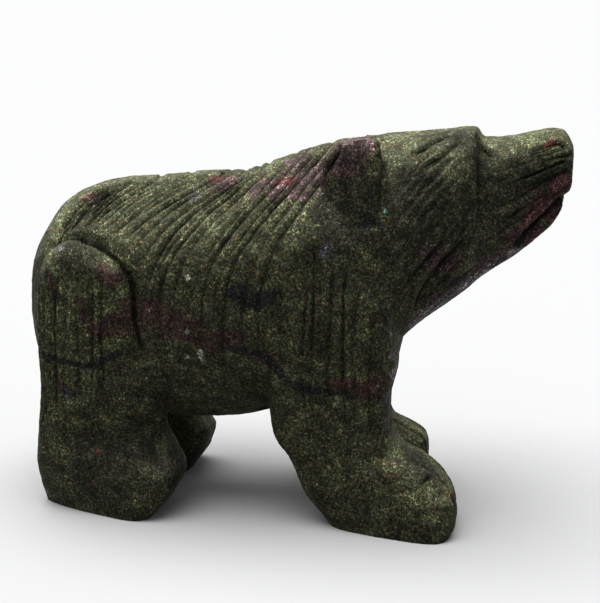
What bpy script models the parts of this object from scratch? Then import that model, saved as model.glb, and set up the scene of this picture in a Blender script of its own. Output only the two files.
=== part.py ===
"""A small bear carved from one piece of stone. It stands on four feet and lifts its muzzle."""

import math
from collections import namedtuple

import bmesh
import bpy
import numpy as np
from mathutils import Vector
from mathutils.bvhtree import BVHTree
from mathutils.kdtree import KDTree

# Driving sizes, in metres: rump to nose, side to side, and soles to the top of the head
LENGTH = 0.0522
WIDTH = 0.0217
HEIGHT = 0.0373

# The tables below describe a bear of this length, width and height in millimetres,
# and their pose and proportions are stretched to the driving sizes
TABLE_SIZE = (52.2, 21.7, 37.3)
MILLIMETRE = 0.001
STRETCH = np.array([LENGTH, WIDTH, HEIGHT]) / MILLIMETRE / TABLE_SIZE

# How fine the solid is, in millimetres, points and triangles
VOXEL = 0.22
STATION_STEP = 0.5
PATH_STEP = 0.3
RING_POINTS = 48
FACES = 9300

# The joins between the forms are eased over this length, in millimetres
EASE_LENGTH = 0.55

# Points this close to the ground, in millimetres, belong to the soles
SOLE_SNAP = 0.03

# Sharper edges than this are shaded as edges, in degrees
SHARP_ANGLE = 50

# Head, neck and trunk: upright sections from rump to nose.
# x, underside z, top z, half width, boxiness, width share at the underside, width share at the top
TRUNK = [
    (-26.4, 18.4, 23.0, 1.8, 2.0, 1.00, 1.00),
    (-25.9, 14.8, 25.2, 4.6, 2.2, 1.00, 0.95),
    (-24.8, 12.0, 27.1, 6.6, 2.4, 1.00, 0.90),
    (-23.4, 10.2, 29.1, 8.2, 2.5, 1.00, 0.84),
    (-21.0, 9.2, 30.7, 9.2, 2.5, 1.00, 0.78),
    (-18.0, 8.7, 31.6, 9.5, 2.5, 1.00, 0.74),
    (-14.0, 8.3, 31.95, 9.6, 2.5, 0.97, 0.72),
    (-10.0, 8.3, 32.45, 9.6, 2.5, 0.95, 0.70),
    (-5.5, 8.65, 32.8, 9.5, 2.5, 0.94, 0.70),
    (-2.0, 9.5, 33.95, 9.5, 2.5, 0.94, 0.70),
    (1.5, 10.6, 35.2, 9.5, 2.5, 0.94, 0.69),
    (5.0, 10.8, 36.1, 9.2, 2.5, 0.90, 0.68),
    (8.0, 13.3, 36.5, 8.6, 2.7, 0.85, 0.70),
    (10.4, 17.15, 36.7, 8.0, 3.0, 0.75, 0.74),
    (13.6, 20.0, 36.95, 7.3, 3.2, 0.70, 0.76),
    (15.9, 21.75, 37.3, 6.4, 3.2, 0.68, 0.76),
    (16.8, 22.4, 37.35, 5.8, 3.2, 0.68, 0.76),
    (17.4, 23.0, 36.45, 5.0, 3.2, 0.70, 0.76),
    (18.4, 23.75, 36.4, 4.5, 3.2, 0.72, 0.78),
    (21.0, 25.75, 36.8, 4.2, 3.4, 0.80, 0.82),
    (24.0, 28.55, 37.4, 3.9, 3.8, 0.88, 0.84),
    (24.9, 29.95, 37.2, 3.8, 3.8, 0.92, 0.86),
    (25.4, 31.1, 36.5, 3.7, 3.8, 0.95, 0.90),
    (25.8, 32.2, 35.6, 3.5, 3.8, 0.97, 0.92),
]

# Legs: level sections from below the sole to inside the trunk.
# z, rear x, front x, inner y, outer y, widening toward the toes, boxiness
NEAR_HIND_LEG = [
    (-1.0, -24.3, -13.4, 2.9, 8.9, 0.42, 3.6),
    (0.0, -24.7, -13.0, 2.8, 9.1, 0.40, 3.6),
    (2.0, -25.0, -11.3, 2.6, 9.7, 0.26, 3.6),
    (4.2, -25.1, -10.3, 2.6, 9.8, 0.14, 3.6),
    (6.0, -25.0, -11.0, 2.7, 9.5, 0.05, 3.4),
    (8.0, -24.8, -12.0, 2.8, 9.3, 0.00, 3.4),
    (11.0, -24.4, -12.3, 2.6, 9.5, 0.00, 3.4),
    (16.0, -24.3, -12.9, 2.0, 10.0, 0.00, 3.4),
    (20.5, -24.4, -13.8, 1.0, 10.3, 0.00, 3.0),
    (23.5, -24.1, -14.5, 1.0, 10.0, 0.00, 3.0),
    (25.6, -23.0, -16.2, 1.0, 9.4, 0.00, 2.6),
    (26.8, -21.4, -18.4, 2.0, 8.6, 0.00, 2.3),
]
FAR_HIND_LEG = [
    (-1.0, -24.2, -12.8, 2.9, 8.8, 0.30, 3.6),
    (0.0, -24.6, -12.6, 2.8, 9.1, 0.28, 3.6),
    (2.0, -24.9, -11.1, 2.6, 9.6, 0.20, 3.6),
    (4.2, -25.1, -10.5, 2.6, 9.8, 0.12, 3.6),
    (6.0, -25.0, -11.6, 2.7, 9.5, 0.05, 3.4),
    (8.0, -24.8, -12.6, 2.8, 9.3, 0.00, 3.4),
    (11.0, -24.5, -12.5, 2.6, 9.5, 0.00, 3.4),
    (16.0, -24.4, -12.9, 2.0, 10.0, 0.00, 3.4),
    (20.5, -24.4, -13.8, 1.0, 10.3, 0.00, 3.0),
    (23.5, -24.1, -14.5, 1.0, 10.0, 0.00, 3.0),
    (25.6, -23.0, -16.2, 1.0, 9.4, 0.00, 2.6),
    (26.8, -21.4, -18.4, 2.0, 8.6, 0.00, 2.3),
]
NEAR_FORE_LEG = [
    (-1.0, 5.2, 15.5, 3.0, 10.3, 0.28, 3.8),
    (0.0, 4.1, 15.8, 2.9, 10.5, 0.26, 3.8),
    (1.2, 3.2, 16.35, 2.8, 10.5, 0.22, 3.8),
    (3.0, 1.7, 16.15, 2.8, 10.3, 0.15, 3.8),
    (5.2, 0.8, 15.0, 2.9, 9.9, 0.08, 3.6),
    (6.6, 0.1, 13.3, 2.9, 9.5, 0.03, 3.6),
    (7.6, -0.7, 11.2, 2.9, 9.3, 0.00, 3.6),
    (9.5, -1.5, 9.9, 2.8, 9.3, 0.00, 3.6),
    (12.0, -1.7, 9.7, 2.6, 9.4, 0.00, 3.6),
    (16.0, -2.2, 10.4, 2.0, 9.6, 0.00, 3.6),
    (21.0, -2.4, 9.6, 1.0, 9.6, 0.00, 3.0),
    (26.0, -1.8, 8.4, 1.0, 9.0, 0.00, 2.4),
    (31.0, 0.0, 7.0, 1.0, 6.5, 0.00, 2.0),
]
FAR_FORE_LEG = [
    (-1.0, 4.2, 11.4, 3.0, 10.1, 0.10, 3.8),
    (0.0, 3.2, 11.8, 2.9, 10.2, 0.10, 3.8),
    (1.2, 2.2, 12.1, 2.8, 10.3, 0.10, 3.8),
    (3.0, 1.0, 12.3, 2.8, 10.2, 0.08, 3.8),
    (4.7, -0.2, 12.0, 2.9, 9.9, 0.04, 3.8),
    (5.6, -0.7, 10.8, 2.9, 9.5, 0.00, 3.6),
    (7.0, -1.0, 8.5, 2.9, 9.3, 0.00, 3.6),
    (9.5, -1.4, 8.1, 2.8, 9.3, 0.00, 3.6),
    (12.0, -1.8, 8.8, 2.6, 9.4, 0.00, 3.6),
    (16.0, -2.2, 9.6, 2.0, 9.6, 0.00, 3.6),
    (21.0, -2.4, 9.4, 1.0, 9.6, 0.00, 3.0),
    (26.0, -1.8, 8.4, 1.0, 9.0, 0.00, 2.4),
    (31.0, 0.0, 7.0, 1.0, 6.5, 0.00, 2.0),
]

# Ears: level sections, in the same columns as the legs
EAR = [
    (26.2, 4.6, 8.0, 5.0, 7.2, 0.30, 2.0),
    (27.4, 3.6, 8.5, 4.6, 7.7, 0.30, 2.6),
    (31.0, 3.0, 8.8, 4.2, 7.8, 0.30, 2.8),
    (34.6, 3.2, 8.7, 4.0, 7.5, 0.30, 2.8),
    (36.5, 4.6, 8.3, 4.2, 7.1, 0.25, 2.6),
    (37.3, 5.8, 7.7, 4.6, 6.7, 0.15, 2.4),
]
FAR_EAR_DROP = 1.4

# A cut: how deep it is, how far it reaches to the left and to the right of its path, the shares of the path
# over which it fades in and out, and whether it is a round hollow or a groove with sloping sides
Cut = namedtuple("Cut", "path depth left right fade_in fade_out round", defaults=[False])

# A groove's side wider than this eases out, a narrower one is straight
WIDE_SLOPE = 1.0

# Single cuts. Each path is x and z on the side of the stone.
CUTS = {
    "haunch crease": Cut(
        [(-22.4, 26.2), (-20.4, 26.9), (-18.1, 26.4), (-15.8, 25.1), (-14.5, 22.8), (-14.1, 19.1),
         (-13.1, 15.4)],
        0.90, 1.9, 0.25, 0.12, 0.40,
    ),
    "hock hollow": Cut([(-10.8, 6.6), (-13.4, 8), (-17, 8.2), (-21.5, 8)], 1.2, 3.0, 2.8, 0.05, 0.75, True),
    "ear hollow": Cut([(6.2, 36.3), (6.4, 33.0), (7.1, 28.9)], 0.90, 2.3, 2.2, 0.70, 0.02, True),
    "ear front": Cut([(8.0, 36.6), (8.6, 35.0), (8.9, 33.0), (8.9, 30.2)], 0.40, 0.45, 0.40, 0.10, 0.25),
    "upper temple": Cut([(10.6, 34.7), (12.0, 35.8), (14.6, 37.0)], 0.60, 0.50, 0.45, 0.50, 0.10),
    "middle temple": Cut([(11.4, 33.2), (12.6, 34.5), (13.9, 35.3), (15.4, 36.3)], 0.6, 0.5, 0.4, 0.4, 0.3),
    "lower temple": Cut([(12.3, 32.6), (13.6, 33.8), (14.9, 34.6)], 0.35, 0.50, 0.45, 0.40, 0.40),
    "brow": Cut([(16.9, 36.9), (17.6, 36.0), (18.7, 35.0)], 0.75, 0.50, 0.45, 0.05, 0.35),
    "cheek edge": Cut([(17.3, 35.6), (17.4, 32.6), (17.6, 29.0)], 0.30, 0.95, 0.20, 0.15, 0.40),
    "nose ridge": Cut([(24.4, 37.8), (22.6, 37.6), (21.0, 37.2)], 0.30, 0.40, 0.40, 0.20, 0.40),
    "nostril": Cut([(25.6, 36.3), (24.4, 36.5), (22.9, 36.0), (21.4, 35.3)], 0.60, 0.45, 0.40, 0.02, 0.60),
    "upper snout fold": Cut([(25.7, 35.5), (23.4, 35.0), (21.4, 34.2)], 0.45, 0.45, 0.40, 0.02, 0.60),
    "middle snout fold": Cut(
        [(25.8, 34.1), (23.7, 33.2), (21.8, 32.5), (20.0, 31.4)],
        0.55, 0.95, 0.80, 0.02, 0.60,
    ),
    "lower snout fold": Cut([(25, 32.1), (22.8, 30.7), (21.3, 29.4), (19.6, 28)], 0.45, 0.5, 0.45, 0.1, 0.6),
    "mouth": Cut(
        [(25.7, 32.0), (24.5, 30.9), (23.2, 29.5), (21.8, 27.9), (20.8, 26.9)],
        1.40, 0.60, 0.50, 0.00, 0.25,
    ),
    "jaw 1": Cut([(14.9, 28.2), (13.0, 26.0), (11.8, 24.3), (10.2, 21.9)], 0.60, 0.60, 0.55, 0.30, 0.40),
    "jaw 2": Cut(
        [(17.0, 28.5), (15.0, 26.1), (13.7, 24.4), (12.7, 22.9), (11.7, 20.3)],
        0.70, 0.60, 0.55, 0.25, 0.20,
    ),
    "jaw 3": Cut([(17.0, 26.3), (15.2, 24.7), (13.8, 23.0), (12.1, 20.5)], 0.60, 0.55, 0.50, 0.20, 0.20),
    "jaw 4": Cut([(17.9, 25.2), (16.1, 24.0), (14.5, 22.7), (12.9, 21.2)], 0.40, 0.45, 0.40, 0.25, 0.30),
    "throat": Cut([(11.1, 24.4), (10.4, 23.3), (9.8, 22.3)], 0.30, 0.45, 0.45, 0.30, 0.30),
}

# The last of the back turns in toward the ridge: how far below it and how wide, in millimetres
RIDGE_TURN = 0.6
RIDGE_HALF_WIDTH = 3.0

# Coat: in each patch the cuts run between neighbouring guide lines, which are x and z on the side.
# name, guide lines from back to front, cuts between the first and the last, how deep they are
COAT = [
    ("back and flank", [
        [(-19.0, 31.3), (-20.7, 29.8), (-22.2, 27.8), (-23.2, 25.6), (-24.2, 23.2)],
        [(-16.2, 31.7), (-18.6, 29.9), (-19.9, 28.4), (-20.8, 26.9)],
        [(-12.9, 32.1), (-15.2, 30.9), (-18.0, 28.6), (-19.5, 27.3)],
        [(-10.5, 32.4), (-13.7, 30.7), (-15.8, 28.8), (-17.5, 26.8)],
        [(-7.6, 32.6), (-11.3, 30.8), (-14.9, 28.2), (-16.2, 26.0)],
        [(-4.6, 33.2), (-7.7, 31.0), (-11.4, 28.0), (-13.4, 25.0), (-13.8, 21.0)],
        [(-2.8, 33.8), (-5.6, 31.5), (-9.5, 27.8), (-11.7, 23.8), (-12.0, 18.0), (-11.8, 11.0)],
        [(0.4, 35.0), (-1.9, 32.3), (-6.1, 27.3), (-7.9, 23.3), (-8.4, 17.0), (-8.2, 9.6)],
        [(3.6, 36.0), (0.9, 32.8), (-3.2, 27.9), (-5.2, 23.7), (-5.6, 17.0), (-5.2, 9.6)],
        [(5.4, 36.2), (3.0, 32.4), (0.2, 27.6), (-1.2, 22.0), (-1.0, 16.0), (-0.4, 9.0)],
    ], 23, 0.48),
    ("shoulder", [
        [(1.9, 28.5), (1.7, 22.0), (1.5, 16.0), (1.8, 11.0), (2.8, 6.0), (4.6, 2.0)],
        [(4.6, 27.0), (4.3, 22.0), (4.2, 16.0), (4.6, 11.0), (5.8, 5.0), (7.4, 2.0)],
        [(9.2, 21.0), (8.7, 18.0), (8.7, 13.0), (8.9, 9.0), (9.7, 5.4)],
    ], 7, 0.34),
    ("thigh", [
        [(-23.8, 23.4), (-24.2, 18.0), (-24.2, 12.0), (-24.1, 7.0), (-24.0, 1.6)],
        [(-20.8, 25.4), (-21.4, 19.0), (-21.9, 12.0), (-22.1, 7.0), (-22.4, 1.6)],
        [(-16.6, 24.0), (-16.4, 19.0), (-16.6, 15.0), (-17.6, 11.0)],
    ], 8, 0.32),
]
COAT_HALF_WIDTH = 0.52
COAT_SWAY = 0.12
COAT_SEED = 4
STROKE_POINTS = 24

# A stroke of the coat keeps its depth over this length, in millimetres, then fades out.
# The fade takes at least the first of these shares of the stroke and at most the second.
STEADY_LENGTH = 10.0
FADE_SHARES = (0.25, 0.60)

# Cuts between the toes of a fore foot: their distances from the middle plane, and their heights
TOE_CUTS = (5.3, 7.9)
TOE_CUT_HEIGHTS = (7.2, 4.0, -0.6)
TOE_CUT_DEPTH = 0.8
TOE_CUT_HALF_WIDTH = 0.55


def smooth_stations(stations, step):
    """Rows between the given ones, on a cubic through them that never overshoots, about step apart."""
    rows = np.array(stations, float)
    gap = np.diff(rows[:, 0])
    slope = np.diff(rows, axis=0) / gap[:, None]
    tangent = np.zeros_like(rows)
    tangent[0], tangent[-1] = slope[0], slope[-1]
    same_way = slope[:-1] * slope[1:] > 0
    total = np.where(same_way, slope[:-1] + slope[1:], 1.0)
    tangent[1:-1] = np.where(same_way, 2 * slope[:-1] * slope[1:] / total, 0.0)
    made = []
    for i, width in enumerate(gap):
        count = max(1, round(width / step))
        for t in np.arange(count) / count:
            ahead = 3 * t**2 - 2 * t**3
            made.append(
                (1 - ahead) * rows[i]
                + ahead * rows[i + 1]
                + (t**3 - 2 * t**2 + t) * width * tangent[i]
                + (t**3 - t**2) * width * tangent[i + 1]
            )
    made.append(rows[-1])
    return made


def superellipse(boxiness):
    """Points round a unit superellipse: 2 is round, more is boxier."""
    angles = np.arange(RING_POINTS) * 2 * math.pi / RING_POINTS
    power = 2 / boxiness
    along = np.sign(np.cos(angles)) * np.abs(np.cos(angles)) ** power
    across = np.sign(np.sin(angles)) * np.abs(np.sin(angles)) ** power
    return along, across


def trunk_ring(row):
    x, low, high, half_width, boxiness, low_share, high_share = row
    across, up = superellipse(boxiness)
    share = np.where(up < 0, 1 + (low_share - 1) * up**2, 1 + (high_share - 1) * up**2)
    z = (low + high) / 2 + up * (high - low) / 2
    return np.stack([np.full_like(z, x), across * half_width * share, z], 1) * STRETCH


def level_ring(row, side, drop):
    z, rear, front, inner, outer, widening, boxiness = row
    along, across = superellipse(boxiness)
    half_length = along * (front - rear) / 2
    width = outer - inner + widening * half_length
    x = (rear + front) / 2 + half_length
    y = side * (inner + width * (1 + across) / 2)
    return np.stack([x, y, np.full_like(x, z - drop)], 1) * STRETCH


def add_loft(bm, rings):
    """One closed skin over a row of rings, with a flat cap at each end."""
    verts = [[bm.verts.new(point) for point in ring] for ring in rings]
    faces = [bm.faces.new(verts[0]), bm.faces.new(verts[-1])]
    for lower, upper in zip(verts, verts[1:]):
        for i in range(RING_POINTS):
            j = (i + 1) % RING_POINTS
            faces.append(bm.faces.new((lower[i], lower[j], upper[j], upper[i])))
    bmesh.ops.recalc_face_normals(bm, faces=faces)


def rough_forms():
    """Trunk, legs and ears as overlapping closed skins in one mesh, in millimetres."""
    bm = bmesh.new()
    add_loft(bm, [trunk_ring(row) for row in smooth_stations(TRUNK, STATION_STEP)])
    for side in (-1, 1):
        far = side > 0
        limbs = [
            (FAR_HIND_LEG if far else NEAR_HIND_LEG, 0.0),
            (FAR_FORE_LEG if far else NEAR_FORE_LEG, 0.0),
            (EAR, FAR_EAR_DROP if far else 0.0),
        ]
        for stations, drop in limbs:
            rows = smooth_stations(stations, STATION_STEP)
            add_loft(bm, [level_ring(row, side, drop) for row in rows])
    mesh = bpy.data.meshes.new("forms")
    bm.to_mesh(mesh)
    bm.free()
    return mesh


def evaluated(mesh, name, set_up):
    """A copy of the mesh with the modifiers that set_up adds, applied."""
    obj = bpy.data.objects.new(name, mesh)
    bpy.context.scene.collection.objects.link(obj)
    set_up(obj)
    graph = bpy.context.evaluated_depsgraph_get()
    made = bpy.data.meshes.new_from_object(obj.evaluated_get(graph))
    bpy.data.objects.remove(obj)
    return made


def join_forms(obj):
    """Fuse the overlapping skins and ease their joins over EASE_LENGTH."""
    remesh = obj.modifiers.new("join", "REMESH")
    remesh.mode = "VOXEL"
    remesh.voxel_size = VOXEL
    ease = obj.modifiers.new("ease", "SMOOTH")
    ease.factor = 0.5
    ease.iterations = max(1, round((EASE_LENGTH / VOXEL) ** 2))


def fewer_faces(obj):
    decimate = obj.modifiers.new("facets", "DECIMATE")
    decimate.ratio = FACES / (2 * len(obj.data.polygons))


def points_and_normals(mesh):
    points = np.zeros(len(mesh.vertices) * 3)
    mesh.vertices.foreach_get("co", points)
    normals = np.zeros(len(mesh.vertices) * 3)
    mesh.vertex_normals.foreach_get("vector", normals)
    return points.reshape(-1, 3), normals.reshape(-1, 3)


def curve_through(points, step):
    """Points about step apart on a smooth curve through the given ones."""
    given = np.array(points, float)
    padded = np.vstack([2 * given[0] - given[1], given, 2 * given[-1] - given[-2]])
    made = []
    for i in range(1, len(padded) - 2):
        a, b, c, d = padded[i - 1 : i + 3]
        count = max(1, math.ceil(np.linalg.norm(c - b) / step))
        for t in np.arange(count) / count:
            bend = (2 * a - 5 * b + 4 * c - d) * t**2 + (3 * b - a - 3 * c + d) * t**3
            made.append(b + ((c - a) * t + bend) / 2)
    made.append(given[-1])
    return np.array(made)


def laid_on(tree, starts, towards):
    """The points carried onto the stone, each its own way, with the stone's normals there."""
    places, normals = [], []
    for start, toward in zip(starts, towards):
        place, normal, _, _ = tree.ray_cast(Vector(start), Vector(toward))
        if place is not None:
            places.append(place)
            normals.append(normal)
    return np.array(places), np.array(normals)


def onto_side(path, side):
    """Starts well outside one side and ways in, for a path of x and z. They turn in at the ridge."""
    flat = curve_through(path, PATH_STEP)
    trunk = np.array(TRUNK)
    turn = np.interp(flat[:, 0], trunk[:, 0], trunk[:, 2]) - RIDGE_TURN
    rise = np.clip((flat[:, 1] - turn) / RIDGE_TURN, 0, 1)
    aside = side * RIDGE_HALF_WIDTH * np.sqrt(1 - rise**2)
    outward = np.stack([np.zeros(len(flat)), aside, RIDGE_TURN * rise], 1)
    outward /= np.linalg.norm(outward, axis=1)[:, None]
    middle = np.stack([flat[:, 0], np.zeros(len(flat)), np.minimum(flat[:, 1], turn)], 1)
    return middle * STRETCH + outward * LENGTH / MILLIMETRE, -outward


def onto_toes(distance, side):
    """Starts well ahead of the bear and ways back, for an upright line between two toes."""
    heights = np.array(TOE_CUT_HEIGHTS) * STRETCH[2]
    ahead = np.full(len(heights), LENGTH / MILLIMETRE)
    aside = np.full(len(heights), side * distance * STRETCH[1])
    starts = curve_through(np.stack([ahead, aside, heights], 1), PATH_STEP)
    return starts, np.tile([-1, 0, 0], (len(starts), 1))


class Stone:
    """The eased forms, with how deep each of their points is cut."""

    def __init__(self, mesh):
        self.mesh = mesh
        self.points, self.normals = points_and_normals(mesh)
        corners = [tuple(face.vertices) for face in mesh.polygons]
        self.tree = BVHTree.FromPolygons([Vector(point) for point in self.points], corners)
        self.finder = KDTree(len(self.points))
        for index, point in enumerate(self.points):
            self.finder.insert(point, index)
        self.finder.balance()
        self.depth = np.zeros(len(self.points))

    def near(self, places, reach):
        found = set()
        for place in places:
            found.update(index for _, index, _ in self.finder.find_range(place, reach))
        return np.array(sorted(found))

    def cut(self, cut, starts, towards, mirrored=False):
        """Cut one groove where the starts meet the stone."""
        places, facing = laid_on(self.tree, starts, towards)
        left, right = (cut.right, cut.left) if mirrored else (cut.left, cut.right)
        near = self.near(places, max(left, right) + PATH_STEP)
        runs = np.diff(places, axis=0)
        lengths = np.maximum(np.linalg.norm(runs, axis=1), 1e-6)
        begins = np.concatenate([[0], np.cumsum(lengths)[:-1]])
        offset = self.points[near][:, None] - places[:-1][None]
        along = np.clip((offset * runs).sum(2) / lengths**2, 0, 1)
        gap = offset - along[:, :, None] * runs
        away = np.linalg.norm(gap, axis=2)
        nearest = away.argmin(1)
        each = np.arange(len(near))
        share = (begins[nearest] + along[each, nearest] * lengths[nearest]) / lengths.sum()
        leftward = np.cross(facing[nearest], runs[nearest])
        width = np.where((gap[each, nearest] * leftward).sum(1) > 0, left, right)
        fade = np.minimum(share / max(cut.fade_in, 1e-6), (1 - share) / max(cut.fade_out, 1e-6))
        reach = np.clip(away[each, nearest] / width, 0, 1)
        slope = (1 - reach**2) ** 2 if cut.round else (1 - reach) ** np.where(width > WIDE_SLOPE, 2, 1)
        same_face = (self.normals[near] * facing[nearest]).sum(1) > 0.2
        deeper = cut.depth * np.clip(fade, 0, 1) * slope * same_face
        self.depth[near] = np.maximum(self.depth[near], deeper)

    def carve(self):
        carved = self.points - self.normals * self.depth[:, None]
        self.mesh.vertices.foreach_set("co", carved.ravel())
        self.mesh.update()


def coat_cuts():
    """Cuts of the coat: swaying lines between the guides, uneven in depth, fading as they go down."""
    chance = np.random.default_rng(COAT_SEED)
    shares = np.linspace(0, 1, STROKE_POINTS)
    cuts = []
    for _, guides, count, depth in COAT:
        lines = [curve_through(guide, 2 * PATH_STEP) for guide in guides]
        lines = np.array([[line[round(share * (len(line) - 1))] for share in shares] for line in lines])
        for i in range(count):
            place = (i + chance.uniform(0.35, 0.65)) / count * (len(lines) - 1)
            first = min(int(place), len(lines) - 2)
            line = lines[first] + (lines[first + 1] - lines[first]) * (place - first)
            waves = chance.uniform(1, 2) * shares + chance.uniform(0, 1)
            line = line + np.stack([COAT_SWAY * np.sin(2 * math.pi * waves), np.zeros_like(waves)], 1)
            line = line[chance.integers(0, 2) : len(shares) - chance.integers(0, 5)]
            length = np.linalg.norm(np.diff(line, axis=0), axis=1).sum()
            fade_out = np.clip(1 - STEADY_LENGTH / length, *FADE_SHARES)
            sides = (COAT_HALF_WIDTH, COAT_HALF_WIDTH)
            cuts.append(Cut(line[::2], depth * chance.uniform(0.6, 1.2), *sides, 0.05, fade_out))
    return cuts


def carve(mesh):
    stone = Stone(mesh)
    toe_cut = Cut(None, TOE_CUT_DEPTH, TOE_CUT_HALF_WIDTH, TOE_CUT_HALF_WIDTH, 0.15, 0.01)
    for side in (-1, 1):
        for cut in [*CUTS.values(), *coat_cuts()]:
            stone.cut(cut, *onto_side(cut.path, side), mirrored=side > 0)
        for distance in TOE_CUTS:
            stone.cut(toe_cut, *onto_toes(distance, side))
    stone.carve()


def flat_soles(mesh):
    """Cut the feet level at the ground and close them, centre the plan on zero and turn to metres."""
    bm = bmesh.new()
    bm.from_mesh(mesh)
    bmesh.ops.bisect_plane(
        bm,
        geom=bm.verts[:] + bm.edges[:] + bm.faces[:],
        dist=SOLE_SNAP,
        plane_co=(0, 0, 0),
        plane_no=(0, 0, -1),
        clear_outer=True,
    )
    rims = [edge for edge in bm.edges if edge.is_boundary]
    bmesh.ops.holes_fill(bm, edges=rims, sides=0)
    bmesh.ops.triangulate(bm, faces=[face for face in bm.faces if len(face.verts) > 3])
    for vert in bm.verts:
        if vert.co.z < SOLE_SNAP:
            vert.co.z = 0.0
    plan = [np.array([vert.co[axis] for vert in bm.verts]) for axis in (0, 1)]
    middle = Vector((*((along.min() + along.max()) / 2 for along in plan), 0))
    bmesh.ops.translate(bm, vec=-middle, verts=bm.verts)
    bmesh.ops.scale(bm, vec=Vector((MILLIMETRE, MILLIMETRE, MILLIMETRE)), verts=bm.verts)
    bmesh.ops.recalc_face_normals(bm, faces=bm.faces)
    bm.to_mesh(mesh)
    bm.free()


def green_stone():
    material = bpy.data.materials.new("green_stone")
    material.use_nodes = True
    surface = material.node_tree.nodes["Principled BSDF"]
    surface.inputs["Base Color"].default_value = (0.045, 0.055, 0.028, 1)
    surface.inputs["Roughness"].default_value = 0.55
    return material


def main():
    for obj in list(bpy.data.objects):
        bpy.data.objects.remove(obj)
    body = evaluated(rough_forms(), "rough", join_forms)
    carve(body)
    body = evaluated(body, "carved", fewer_faces)
    flat_soles(body)
    bear = bpy.data.objects.new("bear", body)
    bpy.context.scene.collection.objects.link(bear)
    body.shade_smooth()
    body.set_sharp_from_angle(angle=math.radians(SHARP_ANGLE))
    body.materials.clear()
    body.materials.append(green_stone())


main()
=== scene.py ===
"""The carved stone bear, cut finer than its solid and given its stone, on a pale table in soft light."""

import math
from collections import namedtuple

import bmesh
import bpy
import numpy as np
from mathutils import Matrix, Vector, noise
from mathutils.bvhtree import BVHTree
from mathutils.kdtree import KDTree


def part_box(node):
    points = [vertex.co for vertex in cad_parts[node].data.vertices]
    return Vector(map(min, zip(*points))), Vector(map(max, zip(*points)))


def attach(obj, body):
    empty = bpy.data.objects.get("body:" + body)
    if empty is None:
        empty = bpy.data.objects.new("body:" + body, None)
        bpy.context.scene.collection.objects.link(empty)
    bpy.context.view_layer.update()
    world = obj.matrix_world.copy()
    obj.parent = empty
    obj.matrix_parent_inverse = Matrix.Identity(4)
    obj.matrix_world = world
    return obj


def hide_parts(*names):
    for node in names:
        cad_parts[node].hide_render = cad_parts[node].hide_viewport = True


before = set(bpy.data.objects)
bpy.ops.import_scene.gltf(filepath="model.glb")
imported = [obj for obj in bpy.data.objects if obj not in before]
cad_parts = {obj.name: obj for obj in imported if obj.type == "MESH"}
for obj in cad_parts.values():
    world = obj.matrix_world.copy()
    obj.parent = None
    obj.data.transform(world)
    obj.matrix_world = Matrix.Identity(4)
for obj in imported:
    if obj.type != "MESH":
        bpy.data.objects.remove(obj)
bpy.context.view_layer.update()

# The solid's own size, in metres
solid_low, solid_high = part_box("bear")
LENGTH, WIDTH, HEIGHT = solid_high - solid_low

# The tables below describe a bear of this length, width and height in millimetres
TABLE_SIZE = (52.2, 21.7, 37.3)
MILLIMETRE = 0.001
STRETCH = np.array([LENGTH, WIDTH, HEIGHT]) / MILLIMETRE / TABLE_SIZE

# How fine the piece is, in millimetres, points and triangles
VOXEL = 0.14
STATION_STEP = 0.4
PATH_STEP = 0.3
RING_POINTS = 96
FACES = 190000

# The joins between the forms are eased over this length, in millimetres, by steps of this strength
EASE_LENGTH = 0.45
EASE_FACTOR = 0.5

# Points this close to the ground, in millimetres, belong to the soles
SOLE_SNAP = 0.02

# Lengths and shares are divided by at least this
TINY = 1e-6

# Sharper edges than this are shaded as edges, in degrees
SHARP_ANGLE = 60

# Head, neck and trunk: upright sections from rump to nose.
# x, underside z, top z, half width, boxiness, width share at the underside, width share at the top
TRUNK = [
    (-26.4, 18.4, 23.0, 1.8, 2.0, 1.00, 1.00),
    (-25.9, 14.8, 25.2, 4.6, 2.2, 1.00, 0.95),
    (-24.8, 12.0, 27.1, 6.6, 2.4, 1.00, 0.90),
    (-23.4, 10.2, 29.1, 8.2, 2.5, 1.00, 0.84),
    (-21.0, 9.2, 30.7, 9.2, 2.5, 1.00, 0.78),
    (-18.0, 8.7, 31.6, 9.5, 2.5, 1.00, 0.74),
    (-14.0, 8.3, 31.95, 9.6, 2.5, 0.97, 0.72),
    (-10.0, 8.3, 32.45, 9.6, 2.5, 0.95, 0.70),
    (-5.5, 8.65, 32.8, 9.5, 2.5, 0.94, 0.70),
    (-2.0, 9.5, 33.95, 9.5, 2.5, 0.94, 0.70),
    (1.5, 10.6, 35.2, 9.5, 2.5, 0.94, 0.69),
    (5.0, 10.8, 36.1, 9.2, 2.5, 0.90, 0.68),
    (8.0, 13.3, 36.5, 8.6, 2.7, 0.85, 0.70),
    (10.4, 17.15, 36.7, 8.0, 3.0, 0.75, 0.74),
    (13.6, 20.0, 36.95, 7.3, 3.2, 0.70, 0.76),
    (15.9, 21.75, 37.3, 6.4, 3.2, 0.68, 0.76),
    (16.8, 22.4, 37.35, 5.8, 3.2, 0.68, 0.76),
    (17.4, 23.0, 36.45, 5.0, 3.2, 0.70, 0.76),
    (18.4, 23.75, 36.4, 4.5, 3.2, 0.72, 0.78),
    (21.0, 25.75, 36.8, 4.2, 3.4, 0.80, 0.82),
    (24.0, 28.55, 37.4, 3.9, 3.8, 0.88, 0.84),
    (24.9, 29.95, 37.2, 3.8, 3.8, 0.92, 0.86),
    (25.4, 31.1, 36.5, 3.7, 3.8, 0.95, 0.90),
    (25.8, 32.2, 35.6, 3.5, 3.8, 0.97, 0.92),
]

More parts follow.
